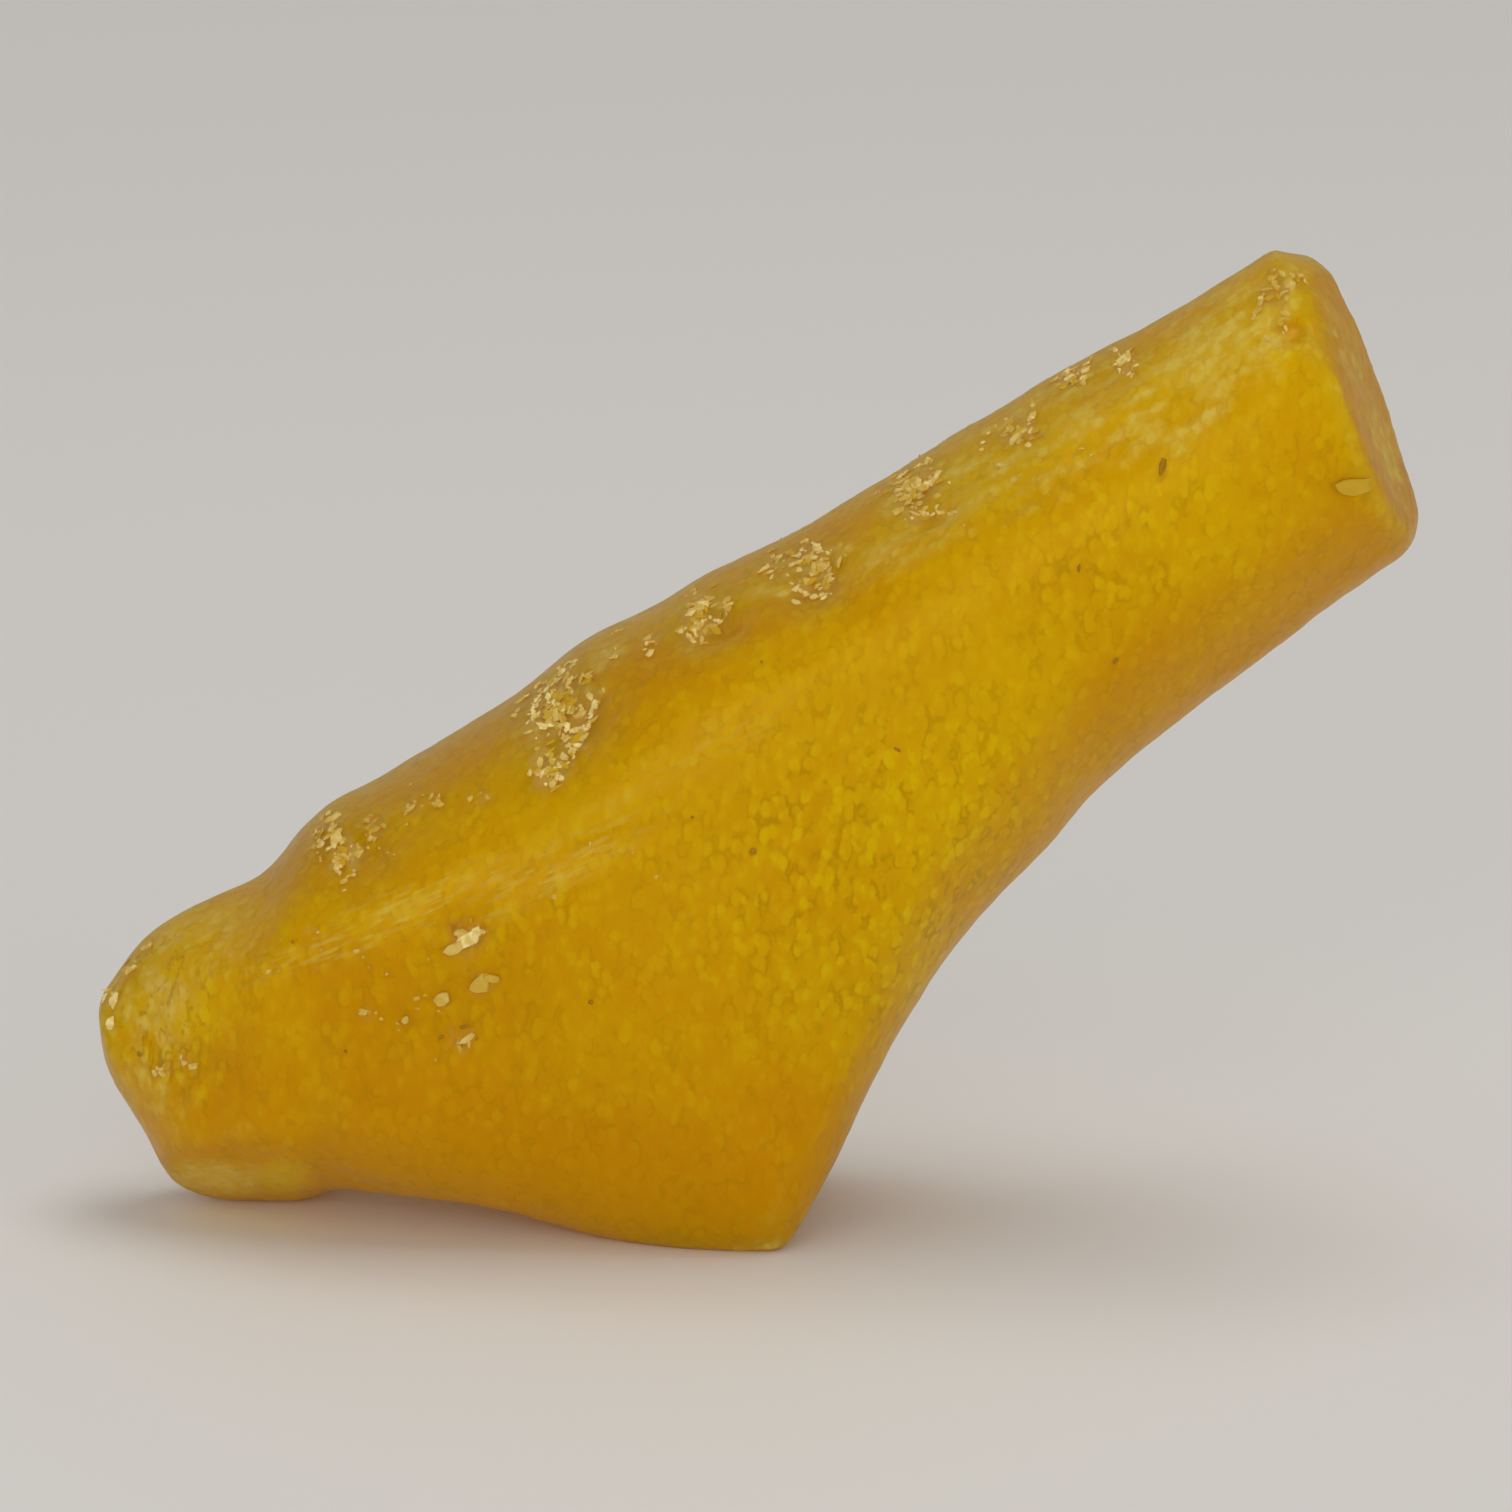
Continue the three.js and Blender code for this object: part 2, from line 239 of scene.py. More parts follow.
# Patches of the skin: place, radii along and across, turn in degrees and strength.
frostPatches = {"front": [
    # toe
    ((-23.0, 3.2), (2.6, 0.75), -3, 2.0),
    ((-26.6, 11.2), (2.4, 1.4), 48, 1.2),
    ((-23.6, 13.2), (3.2, 1.9), 25, 0.75),
    ((-25.2, 10.5), (1.5, 2.0), 5, 1.7),
    ((-25.6, 8.0), (1.6, 3.4), 10, 0.7),
    ((-26.3, 5.6), (0.8, 2.2), 20, 0.4),
    # the tip's painted highlight
    ((-27.4, 10.6), (0.5, 1.2), 0, 1.6),
    # heel's corner
    ((0.0, 0.5), (1.5, 0.5), 5, 1.2),
    # where the resin ran, on the body
    ((-15.2, 14.6), (6.4, 0.5), 23, 0.25),
    ((-6.4, 18.8), (4.2, 0.45), 30, 0.25),
    ((-8.7, 15.6), (4.4, 0.4), 28, 0.25),
    ((-3.2, 21.6), (3.4, 0.4), 31, 0.15),
    # soft flakes beside the chips
    ((4.7, 29.3), (0.7, 0.4), 20, 1.8),
    ((3.5, 29.8), (0.8, 0.5), 30, 1.5),
    ((0.6, 27.9), (1.6, 0.35), 5, 1.3),
    ((5.8, 31.7), (1.3, 0.5), 30, 1.3),
    ((8.1, 33.2), (1.0, 0.6), 20, 1.5),
    ((-6.4, 24.9), (0.7, 1.0), -20, 1.4),
    # the arm
    ((13.6, 34.3), (8.6, 1.8), 27, 1.0),
    ((6.5, 30.2), (4.6, 1.0), 29, 0.8),
    ((11.8, 35.4), (6.5, 1.1), 28, 0.9),
    ((19.0, 39.2), (3.6, 1.2), 28, 1.0),
    ((17.9, 34.6), (2.3, 0.8), 50, 1.6),
    ((18.4, 37.6), (3.8, 1.9), 30, 1.8),
    ((21.2, 40.3), (2.0, 1.5), 30, 0.8),
    ((21.4, 38.0), (0.7, 1.5), 5, 1.5),
    # the rim of the broken end
    ((24.4, 37.6), (2.4, 0.5), -68, 1.5),
    ((23.2, 40.0), (1.4, 0.4), -60, 0.6),
    ((26.0, 33.7), (2.4, 0.55), -72, 1.9),
], "back": [
    ((-23.0, 10.0), (3.0, 2.2), 30, 0.8),
    ((-12.0, 16.0), (7.0, 0.8), 25, 0.5),
    ((-4.0, 14.0), (5.0, 0.6), 30, 0.4),
    ((11.0, 31.0), (9.0, 1.6), 28, 0.6),
    ((-5.6, 23.4), (2.2, 1.6), 30, 0.6),
    ((3.4, 27.8), (1.8, 1.4), 30, 0.6),
    ((22.0, 38.5), (2.6, 2.0), 30, 0.8),
    ((-20.0, 3.4), (3.4, 0.8), 0, 1.2),
    ((-1.0, 1.2), (2.0, 0.6), 0, 1.0),
]}

# fine pale lines where the resin ran
streakPatches = [
    ((-15.6, 14.3), (6.6, 1.0), 22, 0.8),
    ((-8.2, 16.6), (5.0, 1.0), 30, 0.65),
    ((-2.0, 21.4), (4.6, 0.8), 32, 0.25),
]

# deeper in colour: painted shade in part, along the upper band and low down, and the resin's own
# deeper tone in part
shadeAndDeepPatches = [
    ((-17.0, 11.0), (5.0, 3.2), -15, 1.0),
    ((1.0, 6.5), (4.0, 2.8), 0, 0.7),
    ((-13.5, 14.5), (5.0, 2.0), 25, 0.4),
    ((-20.8, 8.2), (2.6, 3.4), 0, 1.0),
    ((-16.6, 12.8), (3.0, 0.7), 10, 0.8),
    ((-13.0, 9.0), (9.0, 6.5), 0, 0.75),
    ((-8.0, 4.0), (12.0, 4.0), -5, 0.7),
    ((-4.0, 9.5), (6.0, 4.0), 0, 0.55),
    ((22.5, 31.0), (3.0, 3.0), 0, 0.5),
    ((-13.0, 2.6), (4.5, 1.4), -8, 0.7),
    ((-6.0, 2.4), (6.5, 1.8), -12, 0.6),
    ((-19.2, 16.4), (2.4, 1.4), 30, 0.7),
    ((-12.5, 21.0), (6.0, 1.3), 30, 0.7),
    ((-5.5, 24.4), (3.6, 1.5), 28, 0.8),
    ((0.5, 26.9), (3.2, 0.9), 28, 0.8),
    ((4.2, 30.8), (4.0, 0.7), 29, 0.7),
    ((14.0, 36.0), (1.2, 0.7), 28, 0.5),
    ((17.0, 38.6), (2.6, 0.7), 28, 0.7),
    ((23.6, 30.4), (2.6, 1.3), 35, 0.6),
    ((14.0, 23.5), (8.0, 1.6), 42, 0.6),
    ((-15.6, 12.4), (3.6, 0.9), 24, 0.5),
]

# where the pebbly skin shows
crazedPatches = [
    ((5.0, 16.0), (10.0, 10.0), 45, 1.0),
    ((14.0, 29.0), (8.0, 5.0), 35, 0.7),
    ((-24.5, 9.5), (3.4, 6.0), 0, 1.0),
    ((-9.0, 13.0), (8.0, 5.0), 20, 0.6),
]

# painted glow: brighter
paintedGlowPatches = [
    ((-23.9, 9.8), (1.5, 1.3), 0, 0.8),
    ((6.4, 12.8), (3.0, 1.7), 60, 0.5),
    ((8.0, 20.0), (7.5, 4.0), 45, 0.5),
    ((17.5, 31.0), (5.0, 3.0), 30, 0.5),
    ((9.5, 32.6), (8.0, 1.6), 29, 0.8),
    ((17.0, 37.2), (6.0, 1.8), 28, 0.8),
    ((-24.2, 13.4), (3.2, 1.6), 28, 0.6),
    ((21.4, 37.8), (0.8, 1.4), 5, 0.9),
    ((-23.0, 3.2), (2.6, 0.9), -3, 0.9),
    ((-20.2, 3.3), (1.4, 0.9), 0, 1.4),
]

# the soft ridge under the upper edge, which fades out along the arm, and the end's corner
softRidges = [
    ((-13.5, 17.6), (7.0, 3.0), 30, 1.0),
    ((-3.5, 22.6), (7.0, 2.8), 33, 0.9),
    ((10.0, 30.6), (13.0, 4.5), 28, 1.0),
    ((23.2, 39.2), (3.0, 0.8), -65, 0.8),
]


def smoothSkin(thing, name, rounds, group=""):
    smoother = thing.modifiers.new(name, "SMOOTH")
    smoother.factor = amberLump["smoothShare"]
    smoother.iterations = rounds
    smoother.vertex_group = group
    applyModifiers(thing)


def displace(lump, name, kind, shape, group=""):
    texture = bpy.data.textures.new(name, kind)
    texture.noise_scale = shape["size"]
    if kind == "VORONOI":
        texture.color_mode = "POSITION"
    push = lump.modifiers.new(name, "DISPLACE")
    push.texture = texture
    push.texture_coords = "LOCAL"
    push.strength = shape["height"]
    push.mid_level = amberLump["midLevel"]
    push.vertex_group = group
    applyModifiers(lump)


def makeLump():
    makeActive(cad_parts["amber"])
    bpy.ops.object.duplicate()
    lump = bpy.context.object
    lump.name = "amberLump"
    bpy.ops.object.mode_set(mode="EDIT")
    bpy.ops.mesh.select_all(action="SELECT")
    bpy.ops.mesh.remove_doubles(threshold=amberLump["weld"])
    bpy.ops.object.mode_set(mode="OBJECT")

    skin = lump.modifiers.new("evenSkin", "REMESH")
    skin.mode = "VOXEL"
    skin.voxel_size = amberLump["voxel"]
    smoothSkin(lump, "soften", amberLump["smoothing"])
    weighVertices(lump, "ridges", patchMask(lump, softRidges))
    smoothSkin(lump, "calm", amberLump["ridgeSmoothing"], "ridges")
    return lump


def chipMask(lump, reach="edge"):
    # 1 in the middle of a chip and 0 outside
    look = amberLump["chip"]
    low, high = look[reach]
    (wavesU, shiftU, heightU), (wavesV, shiftV, heightV) = look["waves"]
    places, normals = vertexArrays(lump)
    u, v, facing = onPicture(places, normals)
    w = towardsEye(places)
    mask = np.zeros(len(u))
    for side, spots in chips.items():
        seen = onSide(facing, side) > look["leastFacing"]
        for (atU, atV), radius, strength in spots:
            du, dv = u - atU, v - atV
            angle = np.arctan2(dv, du)
            wobble = (1 + heightU * np.sin(wavesU * angle + atU * shiftU)
                      + heightV * np.sin(wavesV * angle + atV * shiftV))
            across = np.hypot(du, dv)
            dw = w - w[np.argmin(across + farOff * ~seen)]
            reached = np.hypot(across, look["depthShare"] * dw) / (radius * wobble)
            near = 1 - smoothStep(reached, low, high)
            mask = np.maximum(mask, near * strength * seen)
    return mask


def patchMask(lump, patches, side="front"):
    look = amberLump["patch"]
    u, v, facing = onPicture(*vertexArrays(lump))
    seen = onSide(facing, side) > look["leastFacing"]
    mask = np.zeros(len(u))
    for (atU, atV), (along, across), turn, strength in patches:
        turned = math.radians(turn)
        du, dv = u - atU, v - atV
        a = (du * math.cos(turned) + dv * math.sin(turned)) / along
        b = (dv * math.cos(turned) - du * math.sin(turned)) / across
        near = 1 - smoothStep(np.hypot(a, b), *look["edge"])
        mask = np.maximum(mask, near * strength * seen)
    return mask


def cloudNoise(spots, octaves=3):
    # each octave is twice as fine as the one before
    return np.array([noise.fractal(spot, 1.0, 2.0, octaves) for spot in spots])


def noiseMask(lump, size, stretch=(1, 1, 1), octaves=3, seed=0.0, lean=0.0):
    # cloudy tones through the resin, from 0 to 1
    x, y, z = vertexArrays(lump)[0].T / mm
    sine, cosine = math.sin(math.radians(lean)), math.cos(math.radians(lean))
    leant = np.array([x * cosine + z * sine, y, z * cosine - x * sine]).T
    values = cloudNoise(leant / size / np.array(stretch) + seed, octaves)
    return np.clip(0.5 + amberLump["contrast"] * values, 0, 1)


def toeMask(lump):
    u = onPicture(*vertexArrays(lump))[0]
    return 1 - smoothStep(u, *amberLump["frost"]["toe"])


def toeCrackMask(lump):
    # thin upright cracks in the toe's frosted end, where the mesh is split finer
    cracks = amberLump["toeCracks"]
    stretched = vertexArrays(lump)[0] / mm * np.array(cracks["across"])
    off = np.abs(cloudNoise(stretched))
    return (1 - smoothStep(off, 0.0, cracks["width"])) * patchMask(lump, cracks["patches"])


def brokenEndMask(lump):
    # the face that the arm broke off at
    places, normals = vertexArrays(lump)
    sideways = smoothStep(normals[:, 0], *amberLump["brokenEnd"]["sideways"])
    return sideways * smoothStep(places[:, 0] / mm, *amberLump["brokenEnd"]["along"])


def hazeMask(lump):
    # crushed resin round the chips
    cloud = noiseMask(lump, **amberLump["clouds"]["haze"])
    return chipMask(lump, "haze") * smoothStep(cloud, *amberLump["frost"]["haze"])


def frostMask(lump):
    # streaked on the body and the arm, cloudy on the toe
    look, clouds = amberLump["frost"], amberLump["clouds"]
    v = onPicture(*vertexArrays(lump))[1]
    masks = [patchMask(lump, patches, side) for side, patches in frostPatches.items()]
    masks.append(brokenEndMask(lump) * smoothStep(v, *look["end"]) * look["endStrength"])
    frost = np.maximum.reduce(masks)
    streaked = smoothStep(noiseMask(lump, **clouds["streaked"]), *look["streaked"])
    cloudy = smoothStep(noiseMask(lump, **clouds["cloudy"]), *look["cloudy"])
    texture = streaked + (cloudy - streaked) * toeMask(lump)
    texture = np.maximum(texture, smoothStep(frost, *look["solid"]))
    textured = frost * (look["least"] + (1 - look["least"]) * texture)
    return np.clip(np.maximum(textured, hazeMask(lump)), 0, look["most"])


def smoothedSkin(lump):
    # the lump's places and normals without its small relief
    makeActive(lump)
    bpy.ops.object.duplicate()
    smoothed = bpy.context.object
    smoothSkin(smoothed, "level", amberLump["wearAndShade"]["smoothing"])
    skin = vertexArrays(smoothed)
    bpy.ops.object.delete()
    return skin


def shadeAndDeepMask(lump, places, normals):
    # painted shade, deeper in colour: under the upper edge, towards the foot, underneath and
    # on the broken end; in the patches it is painted shade in part and the resin's deeper tone in
    # part
    look = amberLump["depth"]
    up = smoothStep(normals[:, 2], *look["up"])
    low = 1 - smoothStep(places[:, 2] / mm, *look["low"])
    under = smoothStep(-normals[:, 2], *look["under"])
    depth = np.maximum.reduce([look["upShare"] * up, look["lowShare"] * low, under])
    depth = depth + patchMask(lump, shadeAndDeepPatches) * look["patchShare"]
    return np.clip(depth + brokenEndMask(lump) * look["endShare"], 0, 1)


def bulgeMask(lump, calmPlaces):
    # how far each spot stands out: 0.5 where it is level
    places, normals = vertexArrays(lump)
    proud = np.einsum("ij,ij->i", places - calmPlaces, normals) / mm
    return np.clip(0.5 + proud / amberLump["wearAndShade"]["height"] / 2, 0, 1)


def crazedMask(lump):
    sides = [patchMask(lump, crazedPatches, side) for side in ("front", "back")]
    return np.maximum(np.maximum(*sides), amberLump["leastCrazed"])


def glintMask(lump):
    # painted glints: small faces in the chips, some bright and some dull
    look = amberLump["glint"]
    places = vertexArrays(lump)[0]
    chipped = chipMask(lump)
    mask = np.zeros(len(places))
    for at in np.flatnonzero(chipped > look["leastChip"]):
        distances, seeds = noise.voronoi(Vector(places[at]) / mm / look["size"])
        edge = smoothStep(distances[1] - distances[0], *look["edge"])
        mask[at] = noise.cell(seeds[0] * look["shuffle"]) * edge
    return np.clip(mask * look["gain"] - look["cut"], 0, 1) * smoothStep(chipped, *look["chip"])


def storeMask(thing, name, values):
    layer = thing.data.attributes.new(name, "FLOAT", "POINT")
    layer.data.foreach_set("value", values.astype(np.float32))


def weighVertices(lump, name, values, steps=10):
    group = lump.vertex_groups.new(name=name)
    for step in range(1, steps + 1):
        share = np.flatnonzero(np.round(values * steps) == step)
        if len(share):
            group.add(share.tolist(), step / steps, "REPLACE")


def faceShares(lump, values):
    # the mean of a vertex mask on each face
    starts = np.empty(len(lump.data.polygons), dtype=np.int32)
    counts = np.empty(len(lump.data.polygons), dtype=np.int32)
    corners = np.empty(len(lump.data.loops), dtype=np.int32)
    lump.data.polygons.foreach_get("loop_start", starts)
    lump.data.polygons.foreach_get("loop_total", counts)
    lump.data.loops.foreach_get("vertex_index", corners)
    return np.add.reduceat(values[corners], starts) / counts


def splitFiner(lump):
    # the chips and the cracked toe get smaller faces
    makeActive(lump)
    bpy.ops.object.mode_set(mode="EDIT")
    bpy.ops.mesh.select_all(action="DESELECT")
    bpy.ops.object.mode_set(mode="OBJECT")
    fine = np.maximum(chipMask(lump), patchMask(lump, amberLump["toeCracks"]["patches"]))
    chosen = faceShares(lump, fine) > amberLump["finerEdge"]
    lump.data.polygons.foreach_set("select", chosen)
    bpy.ops.object.mode_set(mode="EDIT")
    bpy.ops.mesh.select_mode(type="FACE")
    bpy.ops.mesh.subdivide(number_cuts=1)
    bpy.ops.object.mode_set(mode="OBJECT")


def settleFoot(lump):
    # nothing hangs below the floor
    places = vertexArrays(lump)[0]
    places[:, 2] = np.maximum(places[:, 2], cadBox[0][2])
    lump.data.vertices.foreach_set("co", places.ravel())
    lump.data.update()


def shapeLump(lump):
    displace(lump, "swell", "CLOUDS", amberLump["swell"])
    displace(lump, "ripple", "CLOUDS", amberLump["ripple"])
    splitFiner(lump)
    weighVertices(lump, "chips", chipMask(lump))
    displace(lump, "chipCells", "VORONOI", amberLump["chipCells"], "chips")
    settleFoot(lump)
    makeActive(lump)
    bpy.ops.object.shade_smooth()
    flat = faceShares(lump, chipMask(lump)) > amberLump["chipEdge"]
    lump.data.polygons.foreach_set("use_smooth", ~flat)


def storeMasks(lump):
    # what the material reads, vertex by vertex
    calmPlaces, calmNormals = smoothedSkin(lump)
    storeMask(lump, "chip", chipMask(lump))
    storeMask(lump, "frost", frostMask(lump))
    # painted shade, with deeper tones in patches
    storeMask(lump, "depth", shadeAndDeepMask(lump, calmPlaces, calmNormals))
    storeMask(lump, "glow", patchMask(lump, paintedGlowPatches))
    storeMask(lump, "crazed", crazedMask(lump))
    storeMask(lump, "glint", glintMask(lump))
    storeMask(lump, "bulge", bulgeMask(lump, calmPlaces))
    storeMask(lump, "cloud", noiseMask(lump, **amberLump["clouds"]["body"]))
    storeMask(lump, "toeCrack", toeCrackMask(lump))
    storeMask(lump, "toe", toeMask(lump))
    storeMask(lump, "streaks", patchMask(lump, streakPatches))
    storeMask(lump, "mottle", noiseMask(lump, **amberLump["clouds"]["mottle"]))


lump = makeLump()
print("lump skin", len(lump.data.vertices))
shapeLump(lump)
storeMasks(lump)
print("lump shaped", len(lump.data.polygons))


# the resin

resin = {
    "core": (0.86, 0.55, 0.0001, 1),
    # painted highlight and painted glow
    "bright": (0.96, 0.715, 0.001, 1),
    # deeper orange, for painted shade and for random deeper tones
    "deep": (0.79, 0.40, 0.0001, 1),
    "milk": (1.0, 0.83, 0.18, 1),
    "toeMilk": (1.0, 0.77, 0.18, 1),
    # pale crushed resin in the chips, also the colour of their painted glints
    "crushedAndGlint": (1.0, 0.64, 0.12, 1),
    # dark cracks, also painted shade round the pebbles
    "crackAndShade": (0.50, 0.28, 0.0001, 1),
    "transmission": 0.5,
    "ior": 1.54,
    "specular": 0.12,
    "glossTint": (1.0, 0.77, 0.1, 1),
    "scatter": (5.0, 2.6, 0.3),
    "absorbColour": (0.995, 0.955, 0.05, 1),
    "absorbDensity": 300.0,
    "upright": (1000, 1000, 640),  # the skin's patterns are in mm, and drawn out upwards
    "grain": {"scale": 2.0, "detail": 2.0},
    "streak": {"lean": math.radians(26), "size": (1.3 * mm, 0.6 * mm, 0.16 * mm)},
    "streakLines": {"scale": 1.0, "detail": 1.0},
    "pebbles": {"scale": 2.2, "uneven": (0.45, 0.45, 0.45)},
    # What each pattern gives for each look: from, to, and the values there if not 0 and 1.
    "ranges": {
        "flake": (0.35, 0.65),
        "streakLines": (0.48, 0.62),
        "streakMottle": (0.35, 0.6, 0.4, 1.0),
        "crackMottle": (0.36, 0.56),
        "crackGrain": (0.4, 0.54),
        "crackInside": (0.46, 0.62),
        "crackOutside": (0.86, 0.66),
        "deepCloud": (0.42, 0.72, 0.0, 0.3),
        "deepFlake": (0.0, 0.5, 0.2, 0.0),
        "brightWall": (0.7, 0.3),
        "brightGrain": (0.34, 0.58),
        "brightFlake": (0.0, 1.0, 0.5, 1.0),
        "brightDepth": (0.2, 1.0, 1.0, 0.35),
        # painted shade in hollows
        "hollowShade": (0.45, 0.0),
        "worn": (0.65, 1.0, 0.0, 0.2),
        "frostWall": (0.7, 0.4, 0.55, 1.0),
        "frostFlake": (0.0, 1.0, 0.6, 1.0),
        "frostGrain": (0.4, 0.58, 0.5, 1.15),
        "chipMottle": (0.35, 0.65, 0.3, 0.8),
        "rough": (0.3, 0.7, 0.30, 0.40),  # over 0.28, where the denoiser treats it all alike
    },
    # how much of each shows
    "shares": {
        "glow": 0.5,
        "crackAndShade": 0.6,
        "hollowShade": 0.15,
        "frost": 0.8,
        "toeCrack": 0.75,
        "glint": 0.6,
        "opaque": 0.8,
        "roughFrost": 0.2,
        "relief": 0.07,  # mm
    },
}


def mathNode(tree, operation, first, second):
    made = tree.nodes.new("ShaderNodeMath")
    made.operation = operation
    for socket, value in ((made.inputs[0], first), (made.inputs[1], second)):
        if isinstance(value, (int, float)):
            socket.default_value = value
        else:
            tree.links.new(value, socket)
    return made.outputs[0]


def mixColour(tree, amount, first, second):
    made = tree.nodes.new("ShaderNodeMix")
    made.data_type = "RGBA"
    factor, a, b = made.inputs[0], made.inputs[6], made.inputs[7]
    for socket, value in ((factor, amount), (a, first), (b, second)):
        if isinstance(value, tuple):
            socket.default_value = value
        else:
            tree.links.new(value, socket)
    return made.outputs[2]


def ranged(tree, value, low, high, outLow=0.0, outHigh=1.0):
    made = tree.nodes.new("ShaderNodeMapRange")
    tree.links.new(value, made.inputs["Value"])
    made.inputs["From Min"].default_value = low
    made.inputs["From Max"].default_value = high
    made.inputs["To Min"].default_value = outLow
    made.inputs["To Max"].default_value = outHigh
    return made.outputs["Result"]


def maskNode(tree, name):
    made = tree.nodes.new("ShaderNodeAttribute")
    made.attribute_name = name
    return made.outputs["Fac"]


def noiseNode(tree, vector, scale, detail=2.0):
    made = tree.nodes.new("ShaderNodeTexNoise")
    made.inputs["Scale"].default_value = scale
    made.inputs["Detail"].default_value = detail
    tree.links.new(vector, made.inputs["Vector"])
    return made


def makeResin():
    material = bpy.data.materials.new("honeyAmber")
    material.use_nodes = True
    tree = material.node_tree
    tree.nodes.clear()
    link = tree.links.new

    def combine(operation, first, *others):
        for other in others:
            first = mathNode(tree, operation, first, other)
        return first

    def reach(name, value):
        return ranged(tree, value, *resin["ranges"][name])

    def share(name, value):
        return mathNode(tree, "MULTIPLY", value, resin["shares"][name])

    chip, frost, depth, glow, bulge, crazed, glint, cloud, toeCrack, mottle, streaks, toe = [
        maskNode(tree, name) for name in (
            "chip", "frost", "depth", "glow", "bulge", "crazed", "glint", "cloud", "toeCrack",
            "mottle", "streaks", "toe")]

    coords = tree.nodes.new("ShaderNodeTexCoord")
    upright = tree.nodes.new("ShaderNodeMapping")
    upright.inputs["Scale"].default_value = resin["upright"]
    link(coords.outputs["Object"], upright.inputs["Vector"])
    fine = noiseNode(tree, upright.outputs["Vector"], **resin["grain"])
    grain = fine.outputs["Fac"]

    # lines along the way that the resin ran
    flow = tree.nodes.new("ShaderNodeMapping")
    flow.vector_type = "TEXTURE"
    flow.inputs["Rotation"].default_value = (0, -resin["streak"]["lean"], 0)
    flow.inputs["Scale"].default_value = resin["streak"]["size"]
    link(coords.outputs["Object"], flow.inputs["Vector"])
    streakLines = noiseNode(tree, flow.outputs["Vector"], **resin["streakLines"]).outputs["Fac"]
    streak = combine("MULTIPLY", streaks, reach("streakLines", streakLines),
                     reach("streakMottle", mottle))

    # the crazed skin: small pebbles with uneven edges that show here and there
    uneven = tree.nodes.new("ShaderNodeVectorMath")
    uneven.operation = "MULTIPLY_ADD"
    link(fine.outputs["Color"], uneven.inputs[0])
    uneven.inputs[1].default_value = resin["pebbles"]["uneven"]
    link(upright.outputs["Vector"], uneven.inputs[2])
    cells = tree.nodes.new("ShaderNodeTexVoronoi")
    cells.inputs["Scale"].default_value = resin["pebbles"]["scale"]
    link(uneven.outputs["Vector"], cells.inputs["Vector"])
    wall = cells.outputs["Distance"]
    flake = reach("flake", cells.outputs["Color"])
    # painted shade round each pebble's rim, which is also where the crazing cracks run
    crackHere = combine("MULTIPLY", reach("crackMottle", mottle), reach("crackGrain", grain))
    crackAndShade = combine("MULTIPLY", reach("crackInside", wall), reach("crackOutside", wall),
                    crackHere, crazed)

    # painted shade, deeper in colour, together with random deeper clouds and flakes
    dark = combine("MULTIPLY", crazed, reach("deepFlake", flake))
    shadeAndDeepHere = combine("ADD", depth, reach("deepCloud", cloud), dark)
    colour = mixColour(tree, shadeAndDeepHere, resin["core"], resin["deep"])
    # painted highlight in the middle of each pebble, standing in for its relief, and painted glow
    highlightAndGlowHere = combine("MULTIPLY", reach("brightWall", wall), reach("brightGrain", grain),
                         reach("brightFlake", flake), crazed, reach("brightDepth", depth))
    highlightAndGlowHere = combine("ADD", highlightAndGlowHere, share("glow", glow))
    colour = mixColour(tree, highlightAndGlowHere, colour, resin["bright"])
    colour = mixColour(tree, share("crackAndShade", crackAndShade), colour, resin["crackAndShade"])
    # painted shade in the hollows of the skin
    colour = mixColour(tree, share("hollowShade", reach("hollowShade", bulge)), colour, resin["deep"])

    # frost, also where the skin stands proud and is worn
    frostHere = combine("MAXIMUM", frost, reach("worn", bulge))
    frostHere = combine("MULTIPLY", frostHere, reach("frostWall", wall),
                        reach("frostFlake", flake), reach("frostGrain", grain))
    frostHere = combine("MAXIMUM", combine("MINIMUM", frostHere, 1.0), streak)
    milk = mixColour(tree, toe, resin["milk"], resin["toeMilk"])
    colour = mixColour(tree, share("frost", frostHere), colour, milk)
    colour = mixColour(tree, share("toeCrack", toeCrack), colour, resin["crackAndShade"])

    # chips: pale crushed resin, and painted glints on some of their small faces
    chipHere = combine("MULTIPLY", chip, reach("chipMottle", mottle))
    colour = mixColour(tree, chipHere, colour, resin["crushedAndGlint"])
    colour = mixColour(tree, share("glint", glint), colour, resin["crushedAndGlint"])

    # the frost and the chips scatter light at once, the clear resin deep down
    opaque = share("opaque", combine("MAXIMUM", frostHere, chipHere))
    deepScatter = combine("SUBTRACT", 1.0, opaque)
    rough = combine("ADD", reach("rough", grain), share("roughFrost", frostHere))
    bump = tree.nodes.new("ShaderNodeBump")
    bump.inputs["Strength"].default_value = 1.0
    bump.inputs["Distance"].default_value = mm
    link(share("relief", grain), bump.inputs["Height"])

    skin = tree.nodes.new("ShaderNodeBsdfPrincipled")
    skin.inputs["IOR"].default_value = resin["ior"]
    skin.inputs["Transmission Weight"].default_value = resin["transmission"]
    skin.inputs["Specular IOR Level"].default_value = resin["specular"]
    skin.inputs["Specular Tint"].default_value = resin["glossTint"]
    skin.inputs["Subsurface Radius"].default_value = resin["scatter"]
    skin.inputs["Subsurface Scale"].default_value = mm
    link(colour, skin.inputs["Base Color"])
    link(deepScatter, skin.inputs["Subsurface Weight"])
    link(rough, skin.inputs["Roughness"])
    link(bump.outputs["Normal"], skin.inputs["Normal"])

    body = tree.nodes.new("ShaderNodeVolumeAbsorption")
    body.inputs["Color"].default_value = resin["absorbColour"]
    body.inputs["Density"].default_value = resin["absorbDensity"]

    out = tree.nodes.new("ShaderNodeOutputMaterial")
    link(skin.outputs["BSDF"], out.inputs["Surface"])
    link(body.outputs["Volume"], out.inputs["Volume"])
    return material


lump.data.materials.clear()
lump.data.materials.append(makeResin())
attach(lump, "root")
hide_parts("amber")
print("resin made")
